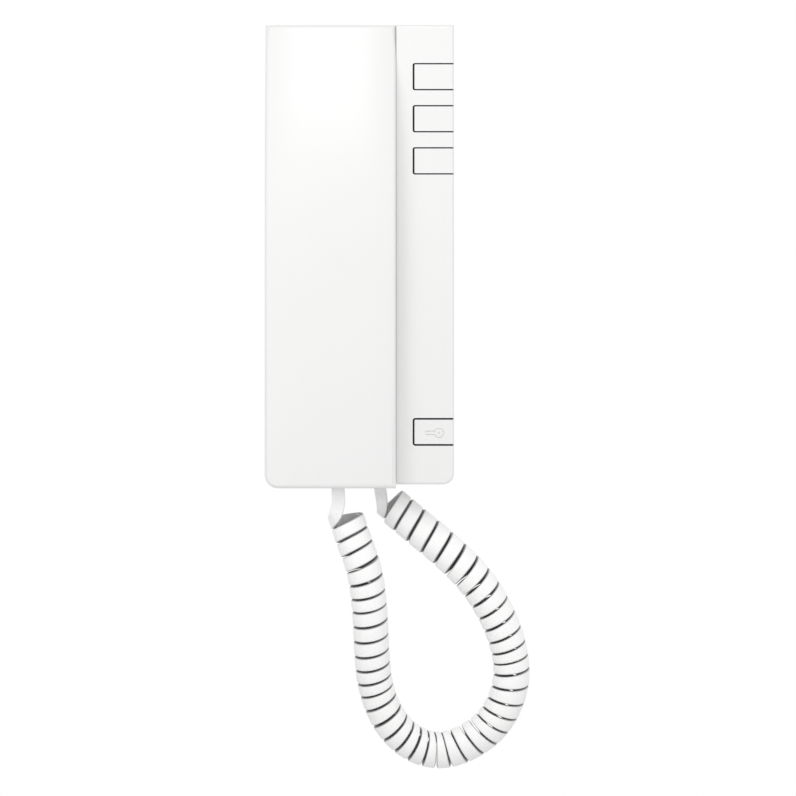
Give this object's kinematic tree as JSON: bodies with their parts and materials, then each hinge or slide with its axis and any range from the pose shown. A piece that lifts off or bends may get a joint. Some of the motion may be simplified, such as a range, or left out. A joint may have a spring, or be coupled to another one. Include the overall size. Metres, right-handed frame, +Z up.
{
  "type": "audio intercom handset",
  "caption": "White wall-mounted audio door phone: slab handset on a base with call buttons and a door release key, joined by a curly cord that hangs in a loop.",
  "frame": {"origin": "centre of the wall screw pattern, on the wall plate's back face", "axes": "+Z up the wall, +X to the viewer's right, +Y into the wall, so the front faces -Y"},
  "size_m": [0.1178, 0.045, 0.3317],
  "materials": {
    "shell_white": "satin moulded plastic",
    "cord_white": "soft PVC, satin",
    "plug_clear": "clear plastic",
    "socket_black": "matte",
    "inner_black": "matte",
    "board_green": "solder mask",
    "terminal_green": "matte",
    "screw_steel": "zinc plated",
    "ballast_steel": "raw",
    "speaker_metal": "satin",
    "foam_grey": "foam",
    "boot_rubber": "matte",
    "mic_metal": "satin"
  },
  "bodies": {
    "base": {"base_cover": "shell_white", "wall_plate": "shell_white", "handset_lead": "cord_white", "curly_cord": "cord_white", "base_lead": "cord_white", "base_cord_plug": "plug_clear", "base_cord_socket": "socket_black", "hook_switch": "inner_black", "ringer": "inner_black", "push_switches": "inner_black", "board_connector": "inner_black", "main_board": "board_green", "button_board": "board_green", "terminal_block": "terminal_green", "board_screws": "screw_steel", "button_board_screws": "screw_steel", "cover_screw": "screw_steel", "button_seals": "boot_rubber"},
    "handset": {"handset_front": "shell_white", "handset_rear": "shell_white", "handset_screws": "screw_steel", "handset_weight": "ballast_steel", "earpiece_speaker": "speaker_metal", "earpiece_gasket": "foam_grey", "microphone_boot": "boot_rubber", "microphone": "mic_metal", "handset_cord_socket": "socket_black", "handset_cord_plug": "plug_clear"},
    "call_button_1": {"call_button_1": "shell_white"},
    "call_button_2": {"call_button_2": "shell_white"},
    "call_button_3": {"call_button_3": "shell_white"},
    "door_button": {"door_button": "shell_white"},
    "hook_plunger": {"hook_plunger": "shell_white"}
  },
  "joints": [
    {"name": "handset_lift", "type": "slide", "parent": "base", "child": "handset", "axis": [0, -1, 0], "range_m": [0, 0.032]},
    {"name": "call_button_1_press", "type": "slide", "parent": "base", "child": "call_button_1", "axis": [0, 1, 0], "range_m": [0, 0.0009], "stiffness_N_per_m": 1500, "springref_m": -0.0002},
    {"name": "call_button_2_press", "type": "slide", "parent": "base", "child": "call_button_2", "axis": [0, 1, 0], "range_m": [0, 0.0009], "stiffness_N_per_m": 1500, "springref_m": -0.0002},
    {"name": "call_button_3_press", "type": "slide", "parent": "base", "child": "call_button_3", "axis": [0, 1, 0], "range_m": [0, 0.0009], "stiffness_N_per_m": 1500, "springref_m": -0.0002},
    {"name": "door_button_press", "type": "slide", "parent": "base", "child": "door_button", "axis": [0, 1, 0], "range_m": [0, 0.0009], "stiffness_N_per_m": 1500, "springref_m": -0.0002},
    {"name": "hook_plunger_slide", "type": "slide", "parent": "base", "child": "hook_plunger", "axis": [0, -1, 0], "range_m": [0, 0.004]}
  ],
  "couplings": [
    {"joint": "hook_plunger_slide", "follows": "handset_lift", "ratio": 0.125}
  ]
}
